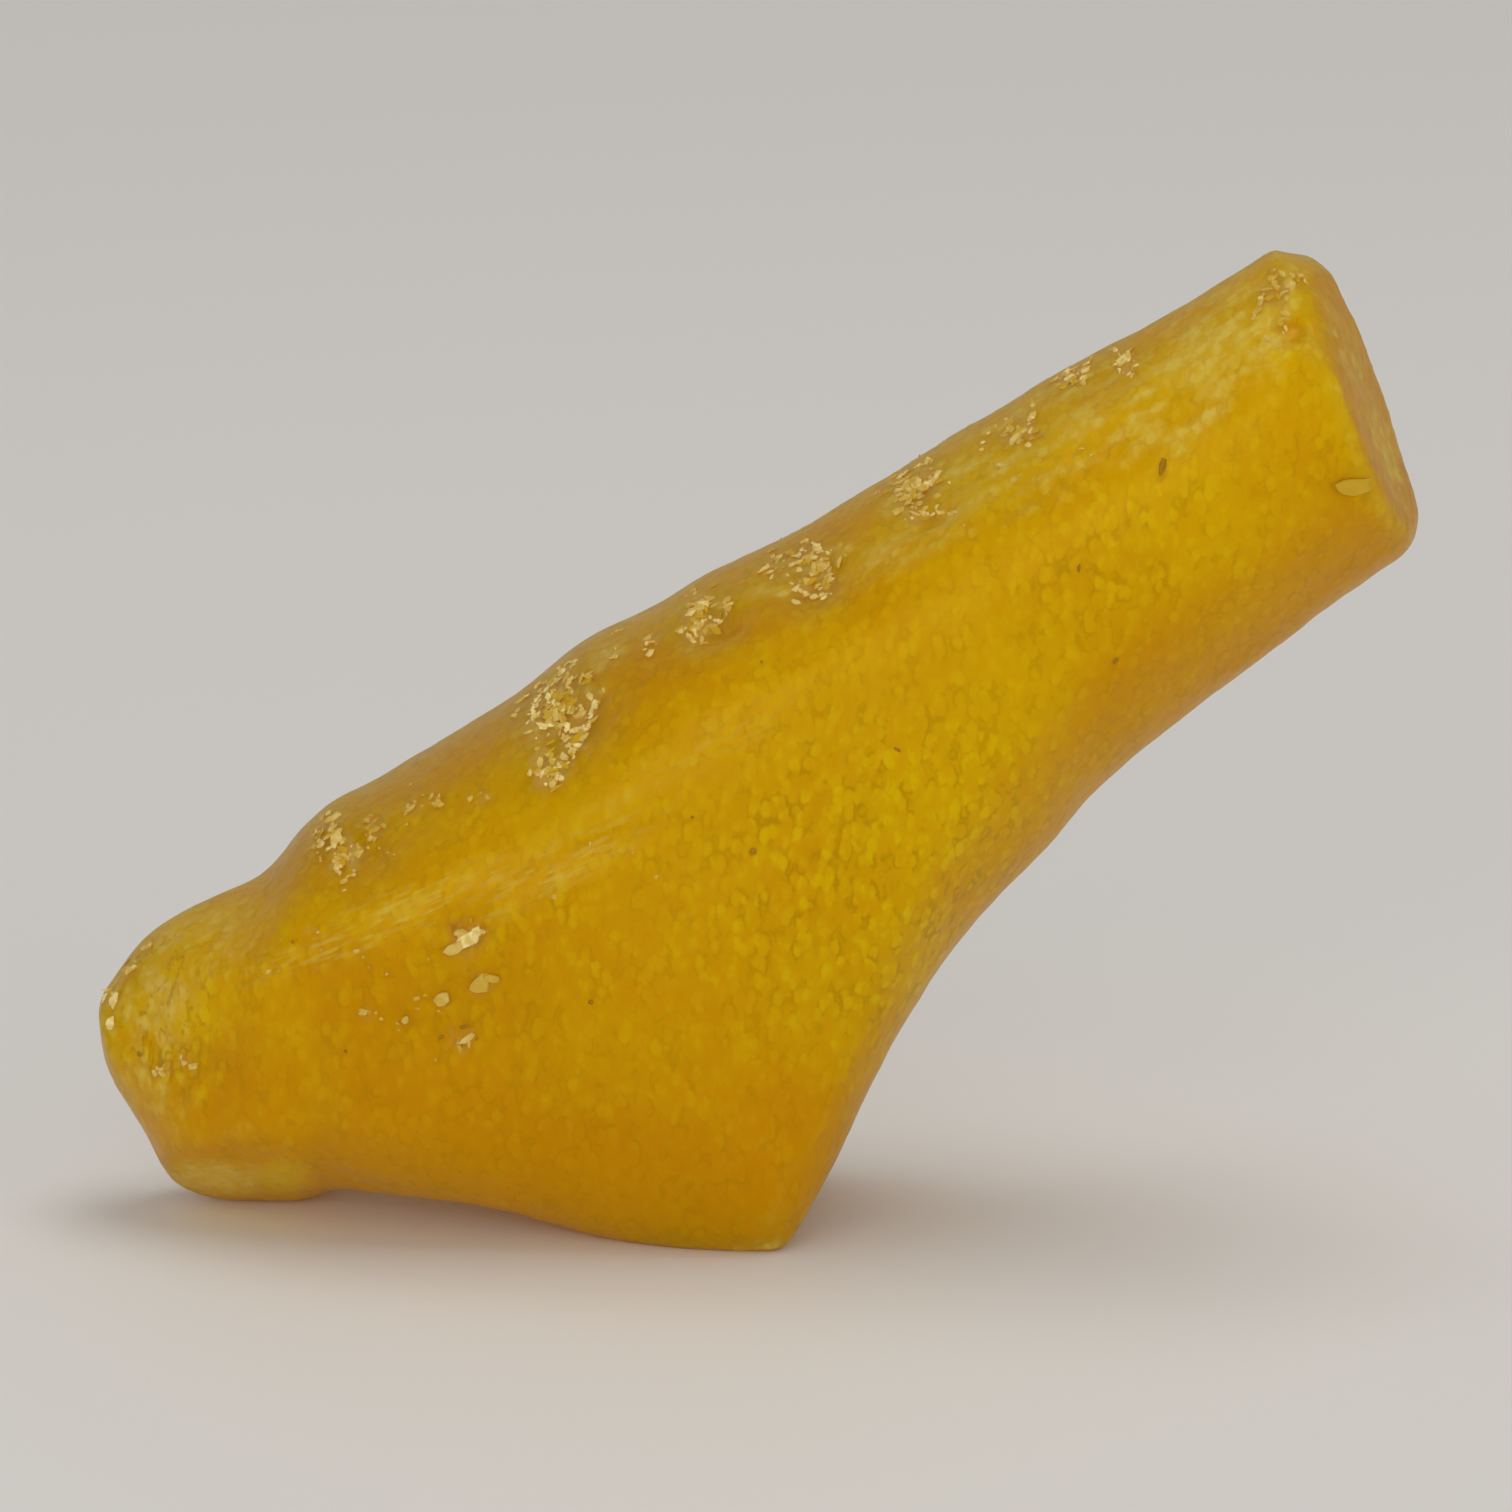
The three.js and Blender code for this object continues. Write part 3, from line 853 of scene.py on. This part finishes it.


# crumbs of resin in the chips, whose pale colours are partly painted glints

crumbs = {
    "seed": 11,
    "patterns": 5,
    "corners": (0.5, 1.4),  # how far a crumb's corners are moved in or out
    "perArea": 6.0,  # loose crumbs for each square mm of chip
    "fewest": 2,
    "drawnShare": 0.5,  # of them, in a chip with strands of its own
    "size": 0.24,  # mm, the middle one
    "spread": 0.6,
    "largest": 0.6,
    "flake": ((0.7, 1.6), (0.6, 1.1), (0.3, 0.7)),  # length, width and height for each mm
    "arc": 1.3,  # how far round the rim they lie
    "ring": (0.7, 0.3, 1.2),  # and how far out in its radius: the middle, spread and furthest
    "turn": 0.5,
    "lean": 0.35,
    "sunk": 0.1,  # the share of its least side by which a crumb is moved into the skin
    "bright": (0.3, 1.1),
    "leastFacing": 0.25,  # the least that a crumb's place faces its side
    # single pale flecks, which also stand in for tiny painted glints: side, place, spread along
    # and up, how many
    "flecks": [
        ("front", (-14.0, 10.6), (2.2, 1.6), 12),
        ("front", (-16.5, 13.4), (2.0, 1.2), 5),
        ("front", (-25.4, 11.5), (0.9, 1.8), 10),
        ("front", (-8.0, 16.5), (4.0, 2.0), 8),
        ("front", (14.0, 35.2), (5.5, 2.0), 6),
        ("back", (-10.0, 14.0), (8.0, 5.0), 30),
        ("back", (10.0, 30.0), (8.0, 4.0), 24),
    ],
    "fleckSize": 0.2,
    "fleckGrowth": (0.6, 1.4),
    "fleckBright": 0.3,
    # pale crushed resin, and painted glints where it is brightest
    "colour": (0.97, 0.82, 0.36, 1),
    "dull": (0.60, 0.36, 0.015, 1),
    "roughness": 0.35,
    "specular": 0.12,
    "glossTint": (1.0, 0.8, 0.35, 1),
    "toneScale": 2500,
    "tone": (0.4, 0.6, 0.45, 1.15),
}

# Strings of crumbs along the cracks in a chip: how they run in a chip of any size,
# and the ones that show plainest, point by point.
strands = {
    "perArea": 0.8,
    "step": 0.16,  # mm from crumb to crumb
    "crumb": (0.30, 0.24, 0.16),
    "spread": 0.4,
    "largest": 1.6,
    "stretch": (0.8, 1.25),
    "scatter": 0.04,
    "turn": 0.3,
    "gap": 0.1,  # the share that is missing
    "bright": (0.6, 1.1),
    "strength": 0.9,
    "start": (0.3, 0.9),  # where a string begins, in its chip's radius
    "stride": 0.2,  # mm from bend to bend
    "bends": (3, 8),  # for each mm of radius, past the fewest
    "fewestBends": 3,
    "bend": 0.10,  # how far each bend turns, and how unevenly
    "uneven": 0.28,
    # chips with strands of their own, or none
    "drawn": [(-8.4, 23.3), (-8.9, 20.6), (-7.9, 21.6), (-2.5, 26.9),
              (-12.3, 13.4), (-11.7, 11.6), (-12.5, 9.2), (-16.5, 10.3)],
    "plain": [
        ([(-9.4, 23.3), (-9.6, 22.8), (-9.3, 22.3), (-8.6, 22.3), (-7.8, 22.1), (-7.2, 22.3),
          (-7.0, 22.9), (-7.1, 23.5), (-7.4, 23.6)], 1.0),
        ([(-8.0, 25.3), (-8.3, 24.6), (-8.8, 24.1), (-9.3, 23.5), (-9.5, 22.8)], 1.0),
        ([(-8.1, 24.6), (-8.1, 23.9), (-7.8, 23.3)], 0.8),
        ([(-8.7, 24.0), (-8.9, 23.3), (-8.5, 23.1), (-7.8, 23.0), (-7.4, 23.1)], 0.9),
        ([(-7.3, 22.3), (-7.4, 21.7), (-7.8, 21.3), (-7.9, 20.9), (-8.3, 20.6), (-9.0, 20.5),
          (-9.2, 20.1)], 1.0),
        ([(-8.7, 20.5), (-8.3, 20.0)], 0.8),
        ([(-6.1, 25.6), (-6.1, 25.0)], 0.5),
        ([(-6.4, 26.4), (-5.8, 26.5)], 0.5),
        ([(-3.3, 26.4), (-2.9, 25.8), (-2.8, 26.4), (-2.3, 26.8), (-1.6, 26.6)], 0.7),
        ([(-3.2, 27.2), (-2.6, 27.5)], 0.5),
        ([(-1.5, 27.5), (-1.4, 26.8)], 0.4),
    ],
}

# Larger flakes that lie flat on the skin: place, length and width, turn and how bright.
slabs = {
    "patterns": 3,
    "corners": 7,
    "growth": (0.6, 1.3),  # how far each corner is moved in or out
    "top": 0.8,  # the upper side's share of the lower one's width
    "thickness": 0.16,
    "lean": 0.04,
    # small ones: for each square mm of chip, and their length, width and height
    "perArea": 9.0,
    "small": ((0.3, 0.75), (0.2, 0.5), 0.14),
    "smallSpread": 0.4,
    "smallTurn": 3,
    "smallBright": (-0.1, 0.45),
    "smallLean": 0.15,
    "places": [
        ((-12.3, 13.4), (1.5, 0.8), 20, 0.9),
        ((-12.9, 13.0), (0.9, 0.7), 10, 0.3),
        ((-11.9, 13.7), (0.8, 0.5), 40, 0.7),
        ((-11.8, 11.5), (1.3, 0.8), 15, 0.15),
        ((-11.3, 11.8), (0.7, 0.5), -20, 0.15),
        ((-13.3, 10.9), (0.7, 0.9), 0, 0.3),
        ((-15.0, 10.0), (0.35, 0.5), 0, 0.2),
        ((-12.3, 9.3), (0.8, 0.4), 30, 0.5),
        ((-16.6, 10.3), (0.6, 0.3), 10, 0.4),
        ((12.8, 36.8), (0.7, 0.5), 30, 1.0),
        ((13.5, 37.1), (0.5, 0.45), 0, 1.0),
        ((15.0, 37.5), (0.8, 0.6), 20, 0.7),
        ((10.5, 34.2), (0.5, 0.9), 0, 0.4),
        ((10.0, 33.1), (0.5, 0.25), 0, 0.5),
        ((6.4, 32.3), (0.6, 0.5), 0, 0.8),
        ((7.2, 32.6), (0.35, 0.8), 0, 0.7),
        ((24.45, 32.2), (1.7, 1.1), -12, 0.05),
        # at the toe's tip and upper edge: pale flakes that stand in for painted highlights
        ((-27.3, 10.8), (0.5, 0.9), 10, 1.0),
        ((-27.4, 9.9), (0.4, 0.8), 0, 0.9),
        ((-26.6, 12.0), (0.4, 0.7), -30, 0.6),
        ((-25.9, 13.0), (0.7, 0.4), 40, 0.5),
    ],
}


def shapeCrumb(seed):
    # one angular splinter, about 1 mm across
    deselectAll()
    bpy.ops.mesh.primitive_ico_sphere_add(subdivisions=1, radius=0.5 * mm)
    crumb = bpy.context.object
    shaker = random.Random(seed)
    for corner in crumb.data.vertices:
        corner.co *= shaker.uniform(*crumbs["corners"])
    return crumb


def shapeSlab(seed):
    # one flat flake with uneven corners, about 1 mm across
    deselectAll()
    count = slabs["corners"]
    bpy.ops.mesh.primitive_cylinder_add(vertices=count, radius=0.5 * mm, depth=mm)
    slab = bpy.context.object
    shaker = random.Random(seed)
    growths = [shaker.uniform(*slabs["growth"]) for _ in range(count)]
    for corner in slab.data.vertices:
        turns = math.atan2(corner.co.y, corner.co.x) / 2 / math.pi
        growth = growths[round(turns * count)]
        narrower = slabs["top"] if corner.co.z > 0 else 1.0
        corner.co.x *= growth * narrower
        corner.co.y *= growth * narrower
    return slab


def joinPieces(pieces, name):
    deselectAll()
    for piece in pieces:
        piece.select_set(True)
    bpy.context.view_layer.objects.active = pieces[0]
    bpy.ops.object.transform_apply(location=True, rotation=True, scale=True)
    bpy.ops.object.join()
    joined = bpy.context.object
    joined.name = name
    bpy.context.scene.cursor.location = (0, 0, 0)
    bpy.ops.object.origin_set(type="ORIGIN_CURSOR")
    return joined


def makeCrumbMaterial():
    material = bpy.data.materials.new("crumbledResin")
    material.use_nodes = True
    tree = material.node_tree
    skin = tree.nodes["Principled BSDF"]
    skin.inputs["Roughness"].default_value = crumbs["roughness"]
    skin.inputs["Specular IOR Level"].default_value = crumbs["specular"]
    skin.inputs["Specular Tint"].default_value = crumbs["glossTint"]
    coords = tree.nodes.new("ShaderNodeTexCoord")
    tone = noiseNode(tree, coords.outputs["Object"], crumbs["toneScale"]).outputs["Fac"]
    uneven = ranged(tree, tone, *crumbs["tone"])
    amount = mathNode(tree, "MULTIPLY", maskNode(tree, "bright"), uneven)
    colour = mixColour(tree, amount, crumbs["dull"], crumbs["colour"])
    tree.links.new(colour, skin.inputs["Base Color"])
    return material


def makeCrumbs(lump):
    places, normals = vertexArrays(lump)
    u, v, facing = onPicture(places, normals)
    shaker = random.Random(crumbs["seed"])
    patterns = [shapeCrumb(seed) for seed in range(crumbs["patterns"])]
    flats = [shapeSlab(seed) for seed in range(slabs["patterns"])]
    made = []

    def addCrumb(side, place, shape, turn, bright, kinds=patterns, lean=crumbs["lean"]):
        hidden = onSide(facing, side) < crumbs["leastFacing"]
        nearest = int(np.argmin(np.hypot(u - place[0], v - place[1]) + farOff * hidden))
        crumb = kinds[shaker.randrange(len(kinds))].copy()
        crumb.data = crumb.data.copy()
        storeMask(crumb, "bright", np.full(len(crumb.data.vertices), bright))
        outwards = Vector(normals[nearest])
        crumb.location = Vector(places[nearest]) - outwards * min(shape) * crumbs["sunk"] * mm
        crumb.scale = shape
        leant = Vector([shaker.gauss(0, lean) for _ in range(3)])
        flatOn = (outwards + leant).to_track_quat("Z", "Y")
        crumb.rotation_euler = (flatOn @ Euler((0, 0, turn)).to_quaternion()).to_euler()
        bpy.context.scene.collection.objects.link(crumb)
        made.append(crumb)

    def looseShape(size):
        return [size * shaker.uniform(*share) for share in crumbs["flake"]]

    def addStrand(side, points, bright):
        for (startU, startV), (endU, endV) in zip(points, points[1:]):
            heading = math.atan2(endV - startV, endU - startU)
            steps = max(1, round(math.hypot(endU - startU, endV - startV) / strands["step"]))
            for step in range(steps):
                if shaker.random() < strands["gap"]:
                    continue
                share = (step + shaker.random()) / steps
                place = (startU + share * (endU - startU) + shaker.gauss(0, strands["scatter"]),
                         startV + share * (endV - startV) + shaker.gauss(0, strands["scatter"]))
                growth = min(shaker.lognormvariate(0, strands["spread"]), strands["largest"])
                shape = [size * growth * shaker.uniform(*strands["stretch"])
                         for size in strands["crumb"]]
                turn = heading + shaker.gauss(0, strands["turn"])
                addCrumb(side, place, shape, turn, bright * shaker.uniform(*strands["bright"]))

    def walk(centre, radius):
        # a bent line round the middle of a chip
        angle = shaker.uniform(0, 2 * math.pi)
        out = radius * shaker.uniform(*strands["start"])
        point = (centre[0] + out * math.cos(angle), centre[1] + out * math.sin(angle))
        heading = angle + math.pi / 2
        points = [point]
        for _ in range(strands["fewestBends"] + int(radius * shaker.uniform(*strands["bends"]))):
            heading += shaker.gauss(strands["bend"] / radius, strands["uneven"])
            point = (point[0] + strands["stride"] * math.cos(heading),
                     point[1] + strands["stride"] * math.sin(heading))
            points.append(point)
        return points

    def addSmallSlab(side, centre, radius):
        long, wide, thick = slabs["small"]
        shape = [shaker.uniform(*long), shaker.uniform(*wide), thick]
        place = [at + shaker.gauss(0, radius * slabs["smallSpread"]) for at in centre]
        turn = shaker.uniform(0, slabs["smallTurn"])
        bright = shaker.uniform(*slabs["smallBright"])
        addCrumb(side, place, shape, turn, bright, patterns, slabs["smallLean"])

    def addLoose(side, centre, radius, strength, arc):
        angle = arc + shaker.gauss(0, crumbs["arc"])
        middle, spread, furthest = crumbs["ring"]
        out = radius * min(shaker.gauss(middle, spread), furthest)
        size = min(crumbs["size"] * shaker.lognormvariate(0, crumbs["spread"]), crumbs["largest"])
        place = centre[0] + out * math.cos(angle), centre[1] + out * math.sin(angle)
        turn = angle + math.pi / 2 + shaker.gauss(0, crumbs["turn"])
        shape = looseShape(size)
        addCrumb(side, place, shape, turn, strength * shaker.uniform(*crumbs["bright"]))

    for points, bright in strands["plain"]:
        addStrand("front", points, bright)
    for side in chips:
        for centre, radius, strength in chips[side]:
            area = math.pi * radius * radius * strength
            drawn = side == "front" and centre in strands["drawn"]
            for _ in range(0 if drawn else round(strands["perArea"] * area) + 1):
                addStrand(side, walk(centre, radius), strength * strands["strength"])
            for _ in range(int(slabs["perArea"] * area)):
                addSmallSlab(side, centre, radius)
            arc = shaker.uniform(0, 2 * math.pi)
            loose = crumbs["perArea"] * area * (crumbs["drawnShare"] if drawn else 1)
            for _ in range(int(loose) + crumbs["fewest"]):
                addLoose(side, centre, radius, strength, arc)
    for side, (atU, atV), (spreadU, spreadV), count in crumbs["flecks"]:
        for _ in range(count):
            size = crumbs["fleckSize"] * shaker.uniform(*crumbs["fleckGrowth"])
            place = atU + shaker.gauss(0, spreadU), atV + shaker.gauss(0, spreadV)
            shape = looseShape(size)
            addCrumb(side, place, shape, shaker.uniform(0, 2 * math.pi), crumbs["fleckBright"])
    for place, (long, wide), turn, bright in slabs["places"]:
        shape = [long, wide, slabs["thickness"]]
        addCrumb("front", place, shape, math.radians(turn), bright, flats, slabs["lean"])
    deselectAll()
    for pattern in patterns + flats:
        pattern.select_set(True)
    bpy.ops.object.delete()
    joined = joinPieces(made, "crumbs")
    joined.data.materials.append(makeCrumbMaterial())
    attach(joined, "root")
    print("crumbs", len(made))


makeCrumbs(lump)


# dark bits of bark in the skin

barkBits = {
    "seed": 5,
    "colour": (0.30, 0.15, 0.004, 1),
    "light": (0.50, 0.27, 0.01, 1),
    "roughness": 0.6,
    "specular": 0.1,
    "grainScale": 6000,
    "sunk": 0.3,  # the share of its width by which a bit's middle is in the skin
    "uneven": (0.78, 1.12),
    "leastFacing": 0.2,
    # place, length, width and lean in degrees
    "bits": [
        ((16.5, 32.9), 1.2, 0.36, 8),
        ((13.0, 28.9), 0.5, 0.22, 5),
        ((14.7, 25.0), 0.4, 0.34, 30),
        ((-0.4, 17.1), 0.46, 0.4, 0),
        ((-7.2, 10.8), 0.32, 0.28, 0),
        ((-17.3, 8.8), 0.28, 0.20, -40),
        ((-13.3, 9.2), 0.34, 0.22, 60),
        ((-12.4, 9.65), 0.55, 0.2, 80),
        ((-12.5, 8.95), 0.45, 0.18, 95),
        ((-11.9, 9.2), 0.25, 0.14, 30),
        ((-19.6, 13.3), 0.22, 0.20, 0),
        ((-26.2, 8.5), 0.36, 0.3, 0),
        ((-0.1, 24.9), 0.20, 0.18, 0),
        ((-3.0, 18.4), 0.20, 0.18, 0),
        ((5.6, 21.3), 0.5, 0.18, -55),
    ],
}


def makeBark(lump):
    places, normals = vertexArrays(lump)
    u, v, facing = onPicture(places, normals)
    hidden = facing < barkBits["leastFacing"]
    bits = []
    shaker = random.Random(barkBits["seed"])
    for (atU, atV), long, wide, lean in barkBits["bits"]:
        nearest = int(np.argmin(np.hypot(u - atU, v - atV) + farOff * hidden))
        inwards = Vector(normals[nearest]) * wide * barkBits["sunk"] * mm
        sunk = Vector(places[nearest]) - inwards
        deselectAll()
        bpy.ops.mesh.primitive_ico_sphere_add(subdivisions=2, radius=0.5 * mm, location=sunk)
        bit = bpy.context.object
        bit.scale = (wide, wide, long)
        bit.rotation_euler = (0, math.radians(lean), 0)
        bpy.ops.object.transform_apply(location=True, rotation=True, scale=True)
        for corner in bit.data.vertices:
            outwards = corner.co - sunk
            corner.co = sunk + outwards * shaker.uniform(*barkBits["uneven"])
        bits.append(bit)
    bark = joinPieces(bits, "barkBits")
    bpy.ops.object.shade_smooth()

    material = bpy.data.materials.new("bark")
    material.use_nodes = True
    tree = material.node_tree
    skin = tree.nodes["Principled BSDF"]
    skin.inputs["Roughness"].default_value = barkBits["roughness"]
    skin.inputs["Specular IOR Level"].default_value = barkBits["specular"]
    coords = tree.nodes.new("ShaderNodeTexCoord")
    grain = noiseNode(tree, coords.outputs["Object"], barkBits["grainScale"]).outputs["Fac"]
    colour = mixColour(tree, grain, barkBits["colour"], barkBits["light"])
    tree.links.new(colour, skin.inputs["Base Color"])
    bark.data.materials.append(material)
    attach(bark, "root")


makeBark(lump)
print("bark bits set")


# floor, lights and camera

studio = {
    "floorSize": 6.0,
    "floorColour": (0.86, 0.85, 0.835, 1),
    "floorRoughness": 0.6,
    "worldColour": (1.0, 0.98, 0.95, 1),
    "worldStrength": 0.38,
    "aim": (0, 0, 0.02),
    # name, place, width and height, power and colour
    "lights": [
        ("frontLeft", (-0.14, -0.56, 0.17), (0.50, 0.34), 1.05, (1.0, 0.98, 0.95)),
        ("frontRight", (0.45, -0.42, 0.2), (0.3, 0.3), 0.36, (1.0, 0.97, 0.93)),
        ("above", (0.08, 0.04, 0.55), (0.4, 0.3), 0.85, (1.0, 0.97, 0.92)),
    ],
}

view = {
    "distance": 0.6,
    "across": 63.5 * mm,  # what the picture takes in at the lump's middle
    "centre": (-0.25, 21.04),
    "sensor": 36.0,
    "clip": (0.05, 20),
}


def makeFloor():
    deselectAll()
    bpy.ops.mesh.primitive_plane_add(size=studio["floorSize"], location=(0, 0, 0))
    floor = bpy.context.object
    floor.name = "floor"
    material = bpy.data.materials.new("paleFloor")
    material.use_nodes = True
    skin = material.node_tree.nodes["Principled BSDF"]
    skin.inputs["Base Color"].default_value = studio["floorColour"]
    skin.inputs["Roughness"].default_value = studio["floorRoughness"]
    floor.data.materials.append(material)


def makeLight(name, place, size, power, colour):
    data = bpy.data.lights.new(name, "AREA")
    data.shape = "RECTANGLE"
    data.size, data.size_y = size
    data.energy = power
    data.color = colour
    light = bpy.data.objects.new(name, data)
    light.location = place
    heading = Vector(studio["aim"]) - Vector(place)
    light.rotation_euler = heading.to_track_quat("-Z", "Y").to_euler()
    bpy.context.scene.collection.objects.link(light)


def makeWorld():
    world = bpy.data.worlds.new("studio")
    world.use_nodes = True
    background = world.node_tree.nodes["Background"]
    background.inputs["Color"].default_value = studio["worldColour"]
    background.inputs["Strength"].default_value = studio["worldStrength"]
    bpy.context.scene.world = world


def makeCamera():
    sine, cosine = math.sin(sight["down"]), math.cos(sight["down"])
    u, v = view["centre"]
    heelX, heelY, heelZ = sight["heelFront"]
    w = v * math.tan(sight["down"]) - sight["midPlane"]
    aim = Vector((heelX + u, heelY + v * sine - w * cosine, heelZ + v * cosine + w * sine)) * mm
    data = bpy.data.cameras.new("eye")
    data.sensor_width = view["sensor"]
    data.lens = view["sensor"] * view["distance"] / view["across"]
    data.clip_start, data.clip_end = view["clip"]
    eye = bpy.data.objects.new("eye", data)
    backwards = Vector((0, -cosine, sine))
    eye.location = aim + backwards * view["distance"]
    eye.rotation_euler = backwards.to_track_quat("Z", "Y").to_euler()
    bpy.context.scene.collection.objects.link(eye)
    bpy.context.scene.camera = eye


makeFloor()
makeWorld()
for light in studio["lights"]:
    makeLight(*light)
makeCamera()
bpy.context.scene.view_settings.view_transform = "Standard"
print("stage set")
